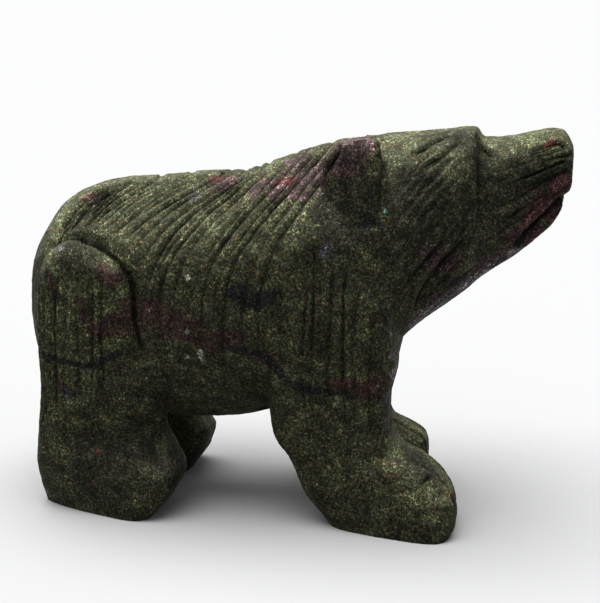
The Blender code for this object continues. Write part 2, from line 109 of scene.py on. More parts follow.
# Legs: level sections from below the sole to inside the trunk.
# z, rear x, front x, inner y, outer y, widening toward the toes, boxiness
NEAR_HIND_LEG = [
    (-1.0, -24.3, -13.4, 2.9, 8.9, 0.42, 3.6),
    (0.0, -24.7, -13.0, 2.8, 9.1, 0.40, 3.6),
    (2.0, -25.0, -11.3, 2.6, 9.7, 0.26, 3.6),
    (4.2, -25.1, -10.3, 2.6, 9.8, 0.14, 3.6),
    (6.0, -25.0, -11.0, 2.7, 9.5, 0.05, 3.4),
    (8.0, -24.8, -12.0, 2.8, 9.3, 0.00, 3.4),
    (11.0, -24.4, -12.3, 2.6, 9.5, 0.00, 3.4),
    (16.0, -24.3, -12.9, 2.0, 10.0, 0.00, 3.4),
    (20.5, -24.4, -13.8, 1.0, 10.3, 0.00, 3.0),
    (23.5, -24.1, -14.5, 1.0, 10.0, 0.00, 3.0),
    (25.6, -23.0, -16.2, 1.0, 9.4, 0.00, 2.6),
    (26.8, -21.4, -18.4, 2.0, 8.6, 0.00, 2.3),
]
FAR_HIND_LEG = [
    (-1.0, -24.2, -12.8, 2.9, 8.8, 0.30, 3.6),
    (0.0, -24.6, -12.6, 2.8, 9.1, 0.28, 3.6),
    (2.0, -24.9, -11.1, 2.6, 9.6, 0.20, 3.6),
    (4.2, -25.1, -10.5, 2.6, 9.8, 0.12, 3.6),
    (6.0, -25.0, -11.6, 2.7, 9.5, 0.05, 3.4),
    (8.0, -24.8, -12.6, 2.8, 9.3, 0.00, 3.4),
    (11.0, -24.5, -12.5, 2.6, 9.5, 0.00, 3.4),
    (16.0, -24.4, -12.9, 2.0, 10.0, 0.00, 3.4),
    (20.5, -24.4, -13.8, 1.0, 10.3, 0.00, 3.0),
    (23.5, -24.1, -14.5, 1.0, 10.0, 0.00, 3.0),
    (25.6, -23.0, -16.2, 1.0, 9.4, 0.00, 2.6),
    (26.8, -21.4, -18.4, 2.0, 8.6, 0.00, 2.3),
]
NEAR_FORE_LEG = [
    (-1.0, 5.2, 15.5, 3.0, 10.3, 0.28, 3.8),
    (0.0, 4.1, 15.8, 2.9, 10.5, 0.26, 3.8),
    (1.2, 3.2, 16.35, 2.8, 10.5, 0.22, 3.8),
    (3.0, 1.7, 16.15, 2.8, 10.3, 0.15, 3.8),
    (5.2, 0.8, 15.0, 2.9, 9.9, 0.08, 3.6),
    (6.6, 0.1, 13.3, 2.9, 9.5, 0.03, 3.6),
    (7.6, -0.7, 11.2, 2.9, 9.3, 0.00, 3.6),
    (9.5, -1.5, 9.9, 2.8, 9.3, 0.00, 3.6),
    (12.0, -1.7, 9.7, 2.6, 9.4, 0.00, 3.6),
    (16.0, -2.2, 10.4, 2.0, 9.6, 0.00, 3.6),
    (21.0, -2.4, 9.6, 1.0, 9.6, 0.00, 3.0),
    (26.0, -1.8, 8.4, 1.0, 9.0, 0.00, 2.4),
    (31.0, 0.0, 7.0, 1.0, 6.5, 0.00, 2.0),
]
FAR_FORE_LEG = [
    (-1.0, 4.2, 11.4, 3.0, 10.1, 0.10, 3.8),
    (0.0, 3.2, 11.8, 2.9, 10.2, 0.10, 3.8),
    (1.2, 2.2, 12.1, 2.8, 10.3, 0.10, 3.8),
    (3.0, 1.0, 12.3, 2.8, 10.2, 0.08, 3.8),
    (4.7, -0.2, 12.0, 2.9, 9.9, 0.04, 3.8),
    (5.6, -0.7, 10.8, 2.9, 9.5, 0.00, 3.6),
    (7.0, -1.0, 8.5, 2.9, 9.3, 0.00, 3.6),
    (9.5, -1.4, 8.1, 2.8, 9.3, 0.00, 3.6),
    (12.0, -1.8, 8.8, 2.6, 9.4, 0.00, 3.6),
    (16.0, -2.2, 9.6, 2.0, 9.6, 0.00, 3.6),
    (21.0, -2.4, 9.4, 1.0, 9.6, 0.00, 3.0),
    (26.0, -1.8, 8.4, 1.0, 9.0, 0.00, 2.4),
    (31.0, 0.0, 7.0, 1.0, 6.5, 0.00, 2.0),
]

# Ears: level sections, in the same columns as the legs
EAR = [
    (26.2, 4.6, 8.0, 5.0, 7.2, 0.30, 2.0),
    (27.4, 3.6, 8.5, 4.6, 7.7, 0.30, 2.6),
    (31.0, 3.0, 8.8, 4.2, 7.8, 0.30, 2.8),
    (34.6, 3.2, 8.7, 4.0, 7.5, 0.30, 2.8),
    (36.5, 4.6, 8.3, 4.2, 7.1, 0.25, 2.6),
    (37.3, 5.8, 7.7, 4.6, 6.7, 0.15, 2.4),
]
FAR_EAR_DROP = 1.4

# A cut: how deep it is, how far it reaches to the left and to the right of its path, the shares of the path
# over which it fades in and out, and whether it is a round hollow or a groove with sloping sides
Cut = namedtuple("Cut", "path depth left right fade_in fade_out round", defaults=[False])

# A groove's side wider than this eases out, a narrower one is straight
WIDE_SLOPE = 1.0

# Single cuts. Each path is x and z on the side of the stone.
CUTS = {
    "haunch crease": Cut(
        [(-22.4, 26.2), (-20.4, 26.9), (-18.1, 26.4), (-15.8, 25.1), (-14.5, 22.8), (-14.1, 19.1),
         (-13.1, 15.4)],
        0.90, 1.9, 0.25, 0.12, 0.40,
    ),
    "hock hollow": Cut([(-10.8, 6.6), (-13.4, 8), (-17, 8.2), (-21.5, 8)], 1.2, 3.0, 2.8, 0.05, 0.75, True),
    "ear hollow": Cut([(6.2, 36.3), (6.4, 33.0), (7.1, 28.9)], 0.90, 2.3, 2.2, 0.70, 0.02, True),
    "ear front": Cut([(8.0, 36.6), (8.6, 35.0), (8.9, 33.0), (8.9, 30.2)], 0.40, 0.45, 0.40, 0.10, 0.25),
    "upper temple": Cut([(10.6, 34.7), (12.0, 35.8), (14.6, 37.0)], 0.60, 0.50, 0.45, 0.50, 0.10),
    "middle temple": Cut([(11.4, 33.2), (12.6, 34.5), (13.9, 35.3), (15.4, 36.3)], 0.6, 0.5, 0.4, 0.4, 0.3),
    "lower temple": Cut([(12.3, 32.6), (13.6, 33.8), (14.9, 34.6)], 0.35, 0.50, 0.45, 0.40, 0.40),
    "brow": Cut([(16.9, 36.9), (17.6, 36.0), (18.7, 35.0)], 0.75, 0.50, 0.45, 0.05, 0.35),
    "cheek edge": Cut([(17.3, 35.6), (17.4, 32.6), (17.6, 29.0)], 0.30, 0.95, 0.20, 0.15, 0.40),
    "nose ridge": Cut([(24.4, 37.8), (22.6, 37.6), (21.0, 37.2)], 0.30, 0.40, 0.40, 0.20, 0.40),
    "nostril": Cut([(25.3, 36.0), (24.4, 36.5), (22.9, 36.0), (21.4, 35.3)], 0.60, 0.45, 0.40, 0.02, 0.60),
    "upper snout fold": Cut([(25.7, 35.5), (23.4, 35.0), (21.4, 34.2)], 0.45, 0.45, 0.40, 0.02, 0.60),
    "middle snout fold": Cut(
        [(25.8, 34.1), (23.7, 33.2), (21.8, 32.5), (20.0, 31.4)],
        0.55, 0.95, 0.80, 0.02, 0.60,
    ),
    "lower snout fold": Cut([(25, 32.1), (22.8, 30.7), (21.3, 29.4), (19.6, 28)], 0.45, 0.5, 0.45, 0.1, 0.6),
    "mouth": Cut(
        [(25.7, 32.0), (24.5, 30.9), (23.2, 29.5), (21.8, 27.9), (20.8, 26.9)],
        1.40, 0.60, 0.50, 0.00, 0.25,
    ),
    "jaw 1": Cut([(14.9, 28.2), (13.0, 26.0), (11.8, 24.3), (10.2, 21.9)], 0.60, 0.60, 0.55, 0.30, 0.40),
    "jaw 2": Cut(
        [(17.0, 28.5), (15.0, 26.1), (13.7, 24.4), (12.7, 22.9), (11.7, 20.3)],
        0.70, 0.60, 0.55, 0.25, 0.20,
    ),
    "jaw 3": Cut([(17.0, 26.3), (15.2, 24.7), (13.8, 23.0), (12.1, 20.5)], 0.60, 0.55, 0.50, 0.20, 0.20),
    "jaw 4": Cut([(17.9, 25.2), (16.1, 24.0), (14.5, 22.7), (12.9, 21.2)], 0.40, 0.45, 0.40, 0.25, 0.30),
    "throat": Cut([(11.1, 24.4), (10.4, 23.3), (9.8, 22.3)], 0.30, 0.45, 0.45, 0.30, 0.30),
}

# The last of the back turns in toward the ridge: how far below it and how wide, in millimetres
RIDGE_TURN = 0.6
RIDGE_HALF_WIDTH = 3.0

# Coat: in each patch the cuts run between neighbouring guide lines, which are x and z on the side.
# name, guide lines from back to front, cuts between the first and the last, how deep they are
COAT = [
    ("back and flank", [
        [(-19.0, 31.3), (-20.7, 29.8), (-22.2, 27.8), (-23.2, 25.6), (-24.2, 23.2)],
        [(-16.2, 31.7), (-18.6, 29.9), (-19.9, 28.4), (-20.8, 26.9)],
        [(-12.9, 32.1), (-15.2, 30.9), (-18.0, 28.6), (-19.5, 27.3)],
        [(-10.5, 32.4), (-13.7, 30.7), (-15.8, 28.8), (-17.5, 26.8)],
        [(-7.6, 32.6), (-11.3, 30.8), (-14.9, 28.2), (-16.2, 26.0)],
        [(-4.6, 33.2), (-7.7, 31.0), (-11.4, 28.0), (-13.4, 25.0), (-13.8, 21.0)],
        [(-2.8, 33.8), (-5.6, 31.5), (-9.5, 27.8), (-11.7, 23.8), (-12.0, 18.0), (-11.8, 11.0)],
        [(0.4, 35.0), (-1.9, 32.3), (-6.1, 27.3), (-7.9, 23.3), (-8.4, 17.0), (-8.2, 9.6)],
        [(3.6, 36.0), (0.9, 32.8), (-3.2, 27.9), (-5.2, 23.7), (-5.6, 17.0), (-5.2, 9.6)],
        [(5.4, 36.2), (3.0, 32.4), (0.2, 27.6), (-1.2, 22.0), (-1.0, 16.0), (-0.4, 9.0)],
    ], 23, 0.48),
    ("shoulder", [
        [(1.9, 28.5), (1.7, 22.0), (1.5, 16.0), (1.8, 11.0), (2.8, 6.0), (4.6, 2.0)],
        [(4.6, 27.0), (4.3, 22.0), (4.2, 16.0), (4.6, 11.0), (5.8, 5.0), (7.4, 2.0)],
        [(9.2, 21.0), (8.7, 18.0), (8.7, 13.0), (8.9, 9.0), (9.7, 5.4)],
    ], 7, 0.34),
    ("thigh", [
        [(-23.8, 23.4), (-24.2, 18.0), (-24.2, 12.0), (-24.1, 7.0), (-24.0, 1.6)],
        [(-20.8, 25.4), (-21.4, 19.0), (-21.9, 12.0), (-22.1, 7.0), (-22.4, 1.6)],
        [(-16.6, 24.0), (-16.4, 19.0), (-16.6, 15.0), (-17.6, 11.0)],
    ], 8, 0.32),
]
COAT_HALF_WIDTH = 0.52
COAT_SWAY = 0.12
COAT_SEED = 4
STROKE_POINTS = 24

# A stroke of the coat keeps its depth over this length, in millimetres, then fades out.
# The fade takes at least the first of these shares of the stroke and at most the second.
STEADY_LENGTH = 10.0
FADE_SHARES = (0.25, 0.60)

# Chance in the strokes, from the least to the most: how far each lies on its way to the next one, in how
# many waves it sways, and its share of the depth
STROKE_PLACES = (0.35, 0.65)
STROKE_WAVES = (1, 2)
STROKE_DEPTHS = (0.6, 1.2)

# Fewer of a stroke's points than these are left out at its start and its end. It fades in over this share.
STROKE_STARTS = 2
STROKE_ENDS = 5
STROKE_FADE_IN = 0.05

# Cuts between the toes of a fore foot: their distances from the middle plane, their heights and their shape
TOE_CUTS = (5.3, 7.9)
TOE_CUT_HEIGHTS = (7.2, 4.0, -0.6)
TOE_CUT = Cut(None, 0.80, 0.55, 0.55, 0.15, 0.01)

# Finer cuts than the solid's: sides narrower than this, in millimetres, keep only a share of their width
NARROW = 0.6
NARROW_SHARE = 0.8

# Cuts wander this far to each side and are deeper and shallower by this share, in waves of these sizes.
# The seed makes them wander the same way each run.
WANDER_SEED = 1795798935
WANDER = 0.09
WANDER_SIZE = 2.2
RAGGED = 0.06
RAGGED_SIZE = 0.6
UNSTEADY = 0.5
UNSTEADY_SIZE = 3.0

# How far dirt and painted shade reach from the bottom of a cut, in millimetres, and as a share of a deeper
# cut's depth
DIRT_AND_SHADE_REACH = 0.34
DIRT_AND_SHADE_REACH_SHARE = 0.55

# Cuts fade out late: this power of the even fade
FADE_POWER = 0.6

# A cut is whole where the stone faces its way by at least the first of these, and ends at the second
SAME_FACE = 0.35
OTHER_FACE = -0.15

# A way in that meets the stone flatter than this is left out
GRAZING = 0.22

# Fine cuts on the head, the belly and the forefeet, over those of the solid. Each path is x and z.
FINE_CUTS = {
    "upper temple tail": Cut([(12.6, 36.1), (11.3, 35.3), (10.5, 34.6)], 0.35, 0.45, 0.40, 0.20, 0.50),
    "middle temple tail": Cut(
        [(14.6, 35.6), (13.9, 35.1), (12.6, 34.2), (11.9, 33.7), (11.3, 33.1)],
        0.45, 0.45, 0.40, 0.20, 0.50,
    ),
    "lower temple tail": Cut(
        [(14.5, 34.3), (13.2, 33.2), (12.2, 32.3), (11.2, 31.3)],
        0.36, 0.50, 0.45, 0.20, 0.50,
    ),
    "upper cheek": Cut(
        [(15.1, 32.2), (14.1, 31.7), (13.4, 30.7), (12.3, 29.7), (11.4, 28.6)],
        0.32, 0.55, 0.45, 0.20, 0.50,
    ),
    "lower cheek": Cut(
        [(14.6, 29.9), (13.7, 29.0), (12.7, 27.7), (11.8, 26.5)],
        0.32, 0.55, 0.45, 0.20, 0.50,
    ),
    "chin": Cut(
        [(20.5, 25.9), (18.7, 24.7), (17.2, 23.8), (15.2, 22.4), (13.3, 20.7)],
        0.40, 0.50, 0.40, 0.20, 0.30,
    ),
    "nostril ridge": Cut([(24.5, 36.4), (23.4, 35.9), (22.3, 35.5), (21.1, 34.7)], 0.4, 0.4, 0.3, 0.1, 0.4),
    "upper snout ridge": Cut(
        [(25.2, 35.0), (23.3, 34.2), (21.6, 33.4), (20.0, 32.5)],
        0.50, 0.45, 0.32, 0.05, 0.40,
    ),
    "middle snout ridge": Cut(
        [(25.6, 34.1), (24.2, 33.5), (22.8, 32.6), (21.2, 31.6), (19.8, 30.7)],
        0.50, 0.45, 0.32, 0.05, 0.40,
    ),
    "lower snout ridge": Cut(
        [(24.0, 32.0), (23.0, 31.5), (21.7, 30.7), (20.5, 29.7), (19.2, 28.8)],
        0.45, 0.45, 0.32, 0.20, 0.40,
    ),
    "cheek step": Cut(
        [(17.4, 35.4), (17.5, 32.2), (17.5, 29.6), (17.2, 27.7)],
        0.50, 1.80, 0.20, 0.20, 0.30,
    ),
    "open mouth": Cut(
        [(24.9, 30.6), (23.6, 29.4), (22.2, 28.0), (21.1, 26.7)],
        1.20, 0.95, 0.85, 0.05, 0.30,
    ),
    "belly notch": Cut([(-2.8, 10.4), (-2.7, 9.4), (-2.6, 8.6)], 0.80, 1.00, 0.90, 0.40, 0.00, True),
    "upper toe": Cut([(14.2, 6.0), (13.7, 5.7), (13.0, 5.3)], 0.50, 0.50, 0.40, 0.05, 0.60),
    "lower toe": Cut([(15.2, 4.4), (14.7, 4.1), (13.9, 3.7)], 0.50, 0.50, 0.40, 0.05, 0.60),
}

# Fine strokes on the face and the rump, in the same columns as the coat
FINE_COAT = [
    ("temple and cheek", [
        [(12.0, 36.2), (10.4, 34.4), (9.6, 32.0)],
        [(15.6, 35.6), (12.9, 33.0), (10.6, 29.5)],
        [(16.9, 32.8), (14.4, 29.4), (11.6, 25.2)],
        [(17.0, 29.2), (14.6, 25.8), (12.2, 21.8)],
    ], 11, 0.28),
    ("rump", [
        [(-19.2, 31.0), (-20.9, 29.6), (-22.3, 27.7), (-23.3, 25.4)],
        [(-16.8, 31.5), (-19.0, 29.8), (-20.4, 28.2), (-21.4, 26.8)],
    ], 4, 0.75),
    ("snout", [
        [(25.0, 36.3), (22.0, 35.4), (18.8, 34.0)],
        [(25.2, 33.8), (22.0, 32.0), (18.4, 29.8)],
        [(23.6, 30.0), (20.8, 27.2), (17.6, 25.2)],
    ], 7, 0.26),
]

# The gap at the front of the mouth: y and z from one side to the other, and its cut
MOUTH_LINE = [(-3.3, 32.2), (-2.6, 31.5), (-1.3, 31.0), (0.0, 30.8), (1.3, 31.0), (2.6, 31.5), (3.3, 32.2)]
MOUTH_FRONT = Cut(None, 0.90, 0.75, 0.75, 0.05, 0.05)

# Light strokes among those of the coat: their seed, how far each is moved on its way to the next one, and
# their shares of the depth and of the width
LIGHT_SEED = 11
LIGHT_SHIFT = 0.5
LIGHT_DEPTH_SHARE = 0.30
LIGHT_WIDTH_SHARE = 0.6


def smooth_stations(stations, step):
    """Rows between the given ones, on a cubic through them that never overshoots, about step apart."""
    rows = np.array(stations, float)
    gap = np.diff(rows[:, 0])
    slope = np.diff(rows, axis=0) / gap[:, None]
    tangent = np.zeros_like(rows)
    tangent[0], tangent[-1] = slope[0], slope[-1]
    same_way = slope[:-1] * slope[1:] > 0
    total = np.where(same_way, slope[:-1] + slope[1:], 1.0)
    tangent[1:-1] = np.where(same_way, 2 * slope[:-1] * slope[1:] / total, 0.0)
    made = []
    for i, width in enumerate(gap):
        count = max(1, round(width / step))
        for t in np.arange(count) / count:
            ahead = 3 * t**2 - 2 * t**3
            made.append(
                (1 - ahead) * rows[i]
                + ahead * rows[i + 1]
                + (t**3 - 2 * t**2 + t) * width * tangent[i]
                + (t**3 - t**2) * width * tangent[i + 1]
            )
    made.append(rows[-1])
    return made


def superellipse(boxiness):
    """Points round a unit superellipse: 2 is round, more is boxier."""
    angles = np.arange(RING_POINTS) * 2 * math.pi / RING_POINTS
    power = 2 / boxiness
    along = np.sign(np.cos(angles)) * np.abs(np.cos(angles)) ** power
    across = np.sign(np.sin(angles)) * np.abs(np.sin(angles)) ** power
    return along, across


def trunk_ring(row):
    """One upright ring of the trunk."""
    x, low, high, half_width, boxiness, low_share, high_share = row
    across, up = superellipse(boxiness)
    share = np.where(up < 0, 1 + (low_share - 1) * up**2, 1 + (high_share - 1) * up**2)
    z = (low + high) / 2 + up * (high - low) / 2
    return np.stack([np.full_like(z, x), across * half_width * share, z], 1) * STRETCH


def level_ring(row, side, drop):
    """One level ring of a leg or an ear, on the side of that sign."""
    z, rear, front, inner, outer, widening, boxiness = row
    along, across = superellipse(boxiness)
    half_length = along * (front - rear) / 2
    width = outer - inner + widening * half_length
    x = (rear + front) / 2 + half_length
    y = side * (inner + width * (1 + across) / 2)
    return np.stack([x, y, np.full_like(x, z - drop)], 1) * STRETCH


def add_loft(bm, rings):
    """One closed skin over a row of rings, with a flat cap at each end."""
    verts = [[bm.verts.new(point) for point in ring] for ring in rings]
    faces = [bm.faces.new(verts[0]), bm.faces.new(verts[-1])]
    for lower, upper in zip(verts, verts[1:]):
        for i in range(RING_POINTS):
            j = (i + 1) % RING_POINTS
            faces.append(bm.faces.new((lower[i], lower[j], upper[j], upper[i])))
    bmesh.ops.recalc_face_normals(bm, faces=faces)


def rough_forms():
    """Trunk, legs and ears as overlapping closed skins in one mesh, in millimetres."""
    bm = bmesh.new()
    add_loft(bm, [trunk_ring(row) for row in smooth_stations(TRUNK, STATION_STEP)])
    for side in (-1, 1):
        far = side > 0
        limbs = [
            (FAR_HIND_LEG if far else NEAR_HIND_LEG, 0.0),
            (FAR_FORE_LEG if far else NEAR_FORE_LEG, 0.0),
            (EAR, FAR_EAR_DROP if far else 0.0),
        ]
        for stations, drop in limbs:
            rows = smooth_stations(stations, STATION_STEP)
            add_loft(bm, [level_ring(row, side, drop) for row in rows])
    mesh = bpy.data.meshes.new("forms")
    bm.to_mesh(mesh)
    bm.free()
    return mesh


def evaluated(mesh, name, set_up):
    """A copy of the mesh with the modifiers that set_up adds, applied."""
    obj = bpy.data.objects.new(name, mesh)
    bpy.context.scene.collection.objects.link(obj)
    set_up(obj)
    graph = bpy.context.evaluated_depsgraph_get()
    made = bpy.data.meshes.new_from_object(obj.evaluated_get(graph))
    bpy.data.objects.remove(obj)
    return made


def join_forms(obj):
    """Fuse the overlapping skins and ease their joins over EASE_LENGTH."""
    remesh = obj.modifiers.new("join", "REMESH")
    remesh.mode = "VOXEL"
    remesh.voxel_size = VOXEL
    ease = obj.modifiers.new("ease", "SMOOTH")
    ease.factor = EASE_FACTOR
    ease.iterations = max(1, round((EASE_LENGTH / VOXEL) ** 2))


def fewer_faces(obj):
    """Leave about FACES triangles."""
    decimate = obj.modifiers.new("facets", "DECIMATE")
    decimate.ratio = FACES / (2 * len(obj.data.polygons))


def points_and_normals(mesh):
    """The mesh's points and their normals, as rows."""
    points = np.zeros(len(mesh.vertices) * 3)
    mesh.vertices.foreach_get("co", points)
    normals = np.zeros(len(mesh.vertices) * 3)
    mesh.vertex_normals.foreach_get("vector", normals)
    return points.reshape(-1, 3), normals.reshape(-1, 3)


def curve_through(points, step):
    """Points about step apart on a smooth curve through the given ones."""
    given = np.array(points, float)
    padded = np.vstack([2 * given[0] - given[1], given, 2 * given[-1] - given[-2]])
    made = []
    for i in range(1, len(padded) - 2):
        a, b, c, d = padded[i - 1 : i + 3]
        count = max(1, math.ceil(np.linalg.norm(c - b) / step))
        for t in np.arange(count) / count:
            bend = (2 * a - 5 * b + 4 * c - d) * t**2 + (3 * b - a - 3 * c + d) * t**3
            made.append(b + ((c - a) * t + bend) / 2)
    made.append(given[-1])
    return np.array(made)


def laid_on(tree, starts, towards):
    """The points carried onto the stone, each its own way, with the stone's normals there."""
    places, normals = [], []
    for start, toward in zip(starts, towards):
        place, normal, _, _ = tree.ray_cast(Vector(start), Vector(toward))
        if place is not None and normal.dot(Vector(toward)) < -GRAZING:
            places.append(place)
            normals.append(normal)
    return np.array(places), np.array(normals)


def onto_side(path, side):
    """Starts well outside one side and ways in, for a path of x and z. They turn in at the ridge."""
    flat = curve_through(path, PATH_STEP)
    trunk = np.array(TRUNK)
    turn = np.interp(flat[:, 0], trunk[:, 0], trunk[:, 2]) - RIDGE_TURN
    rise = np.clip((flat[:, 1] - turn) / RIDGE_TURN, 0, 1)
    aside = side * RIDGE_HALF_WIDTH * np.sqrt(1 - rise**2)
    outward = np.stack([np.zeros(len(flat)), aside, RIDGE_TURN * rise], 1)
    outward /= np.linalg.norm(outward, axis=1)[:, None]
    middle = np.stack([flat[:, 0], np.zeros(len(flat)), np.minimum(flat[:, 1], turn)], 1)
    return middle * STRETCH + outward * LENGTH / MILLIMETRE, -outward


def from_ahead(line):
    """Starts well ahead of the bear and ways back, for a line of y and z."""
    ahead = LENGTH / MILLIMETRE
    starts = curve_through([(ahead, y * STRETCH[1], z * STRETCH[2]) for y, z in line], PATH_STEP)
    return starts, np.tile([-1, 0, 0], (len(starts), 1))


def noise_at(points, size, kind=noise.noise):
    """Smooth noise at each of the points, in waves of this size."""
    return np.array([kind(Vector(point / size)) for point in points])


def nearest_runs(points, places):
    """For each point the nearest run between two places, its share of the whole path and the gap to it."""
    runs = np.diff(places, axis=0)
    lengths = np.maximum(np.linalg.norm(runs, axis=1), TINY)
    begins = np.concatenate([[0], np.cumsum(lengths)[:-1]])
    offset = points[:, None] - places[:-1][None]
    along = np.clip((offset * runs).sum(2) / lengths**2, 0, 1)
    gap = offset - along[:, :, None] * runs
    nearest = np.linalg.norm(gap, axis=2).argmin(1)
    each = np.arange(len(points))
    share = (begins[nearest] + along[each, nearest] * lengths[nearest]) / lengths.sum()
    return nearest, share, gap[each, nearest]


class Stone:
    """The eased forms, with how deep each of their points is cut."""

    def __init__(self, mesh):
        self.mesh = mesh
        self.points, self.normals = points_and_normals(mesh)
        corners = [tuple(face.vertices) for face in mesh.polygons]
        self.tree = BVHTree.FromPolygons([Vector(point) for point in self.points], corners)
        self.finder = KDTree(len(self.points))
        for index, point in enumerate(self.points):
            self.finder.insert(point, index)
        self.finder.balance()
        self.depth = np.zeros(len(self.points))
        self.dirt_and_shade = np.zeros(len(self.points))
        noise.seed_set(WANDER_SEED)
        wander = noise_at(self.points, WANDER_SIZE, noise.noise_vector)
        ragged = noise_at(self.points, RAGGED_SIZE, noise.noise_vector)
        self.wandering = self.points + WANDER * wander + RAGGED * ragged
        self.firmness = 1 + UNSTEADY * noise_at(self.points, UNSTEADY_SIZE)

    def near(self, places, reach):
        """The numbers of the points within reach of any of the places."""
        found = set()
        for place in places:
            found.update(index for _, index, _ in self.finder.find_range(place, reach))
        return np.array(sorted(found))

    def cut(self, cut, starts, towards, mirrored=False):
        """Cut one groove where the starts meet the stone."""
        places, facing = laid_on(self.tree, starts, towards)
        left, right = (cut.right, cut.left) if mirrored else (cut.left, cut.right)
        left, right = (side * NARROW_SHARE if side < NARROW else side for side in (left, right))
        near = self.near(places, max(left, right) + PATH_STEP)
        run, share, gap = nearest_runs(self.wandering[near], places)
        away = np.linalg.norm(gap, axis=1)
        leftward = np.cross(facing[run], np.diff(places, axis=0)[run])
        width = np.where((gap * leftward).sum(1) > 0, left, right)
        fade = np.minimum(share / max(cut.fade_in, TINY), (1 - share) / max(cut.fade_out, TINY))
        reach = np.clip(away / width, 0, 1)
        slope = (1 - reach**2) ** 2 if cut.round else (1 - reach) ** np.where(width > WIDE_SLOPE, 2, 1)
        same_face = (self.normals[near] * facing[run]).sum(1)
        same_face = np.clip((same_face - OTHER_FACE) / (SAME_FACE - OTHER_FACE), 0, 1)
        deeper = cut.depth * np.clip(fade, 0, 1) ** FADE_POWER * slope * same_face
        if max(left, right) < WIDE_SLOPE:
            deeper *= self.firmness[near]
        self.depth[near] = np.maximum(self.depth[near], deeper)
        # Dirt, with painted shade, darkens the cut toward its bottom
        if not cut.round:
            dirt_and_shade_reach = max(DIRT_AND_SHADE_REACH, DIRT_AND_SHADE_REACH_SHARE * cut.depth)
            dirty_and_shaded = deeper * np.clip(1 - away / dirt_and_shade_reach, 0, 1)
            self.dirt_and_shade[near] = np.maximum(self.dirt_and_shade[near], dirty_and_shaded)

    def carve(self):
        """Sink each point by its depth."""
        carved = self.points - self.normals * self.depth[:, None]
        self.mesh.vertices.foreach_set("co", carved.ravel())
        self.mesh.update()


def coat_cuts(patches, seed=COAT_SEED, between=0.0, depth_share=1.0, width_share=1.0):
    """Cuts of the coat: swaying lines between the guides, uneven in depth, fading as they go down."""
    chance = np.random.default_rng(seed)
    shares = np.linspace(0, 1, STROKE_POINTS)
    cuts = []
    for _, guides, count, depth in patches:
        lines = [curve_through(guide, 2 * PATH_STEP) for guide in guides]
        lines = np.array([[line[round(share * (len(line) - 1))] for share in shares] for line in lines])
        for i in range(count):
            place = (i + between + chance.uniform(*STROKE_PLACES)) / count * (len(lines) - 1)
            first = min(int(place), len(lines) - 2)
            line = lines[first] + (lines[first + 1] - lines[first]) * (place - first)
            waves = chance.uniform(*STROKE_WAVES) * shares + chance.uniform(0, 1)
            line = line + np.stack([COAT_SWAY * np.sin(2 * math.pi * waves), np.zeros_like(waves)], 1)
            line = line[chance.integers(0, STROKE_STARTS) : len(shares) - chance.integers(0, STROKE_ENDS)]
            length = np.linalg.norm(np.diff(line, axis=0), axis=1).sum()
            fade_out = np.clip(1 - STEADY_LENGTH / length, *FADE_SHARES)
            uneven_depth = depth * depth_share * chance.uniform(*STROKE_DEPTHS)
            width = COAT_HALF_WIDTH * width_share
            cuts.append(Cut(line[::2], uneven_depth, width, width, STROKE_FADE_IN, fade_out))
    return cuts


def carve(mesh):
    """Make every cut on both sides, and give the dirt and painted shade at each point."""
    stone = Stone(mesh)
    strokes = coat_cuts(COAT) + coat_cuts(FINE_COAT)
    light_strokes = coat_cuts(COAT, LIGHT_SEED, LIGHT_SHIFT, LIGHT_DEPTH_SHARE, LIGHT_WIDTH_SHARE)
    for side in (-1, 1):
        for cut in [*CUTS.values(), *strokes, *light_strokes, *FINE_CUTS.values()]:
            stone.cut(cut, *onto_side(cut.path, side), mirrored=side > 0)
        for distance in TOE_CUTS:
            stone.cut(TOE_CUT, *from_ahead([(side * distance, height) for height in TOE_CUT_HEIGHTS]))
    stone.cut(MOUTH_FRONT, *from_ahead(MOUTH_LINE))
    stone.carve()
    return stone.dirt_and_shade


def flat_soles(mesh):
    """Cut the feet level at the ground and close them, centre the plan on zero and turn to metres."""
    bm = bmesh.new()
    bm.from_mesh(mesh)
    bmesh.ops.bisect_plane(
        bm,
        geom=bm.verts[:] + bm.edges[:] + bm.faces[:],
        dist=SOLE_SNAP,
        plane_co=(0, 0, 0),
        plane_no=(0, 0, -1),
        clear_outer=True,
    )
    rims = [edge for edge in bm.edges if edge.is_boundary]
    bmesh.ops.holes_fill(bm, edges=rims, sides=0)
    bmesh.ops.triangulate(bm, faces=[face for face in bm.faces if len(face.verts) > 3])
    for vert in bm.verts:
        if vert.co.z < SOLE_SNAP:
            vert.co.z = 0.0
    plan = [np.array([vert.co[axis] for vert in bm.verts]) for axis in (0, 1)]
    middle = Vector((*((along.min() + along.max()) / 2 for along in plan), 0))
    bmesh.ops.translate(bm, vec=-middle, verts=bm.verts)
    bmesh.ops.scale(bm, vec=Vector((MILLIMETRE, MILLIMETRE, MILLIMETRE)), verts=bm.verts)
    bmesh.ops.recalc_face_normals(bm, faces=bm.faces)
    bm.to_mesh(mesh)
    bm.free()
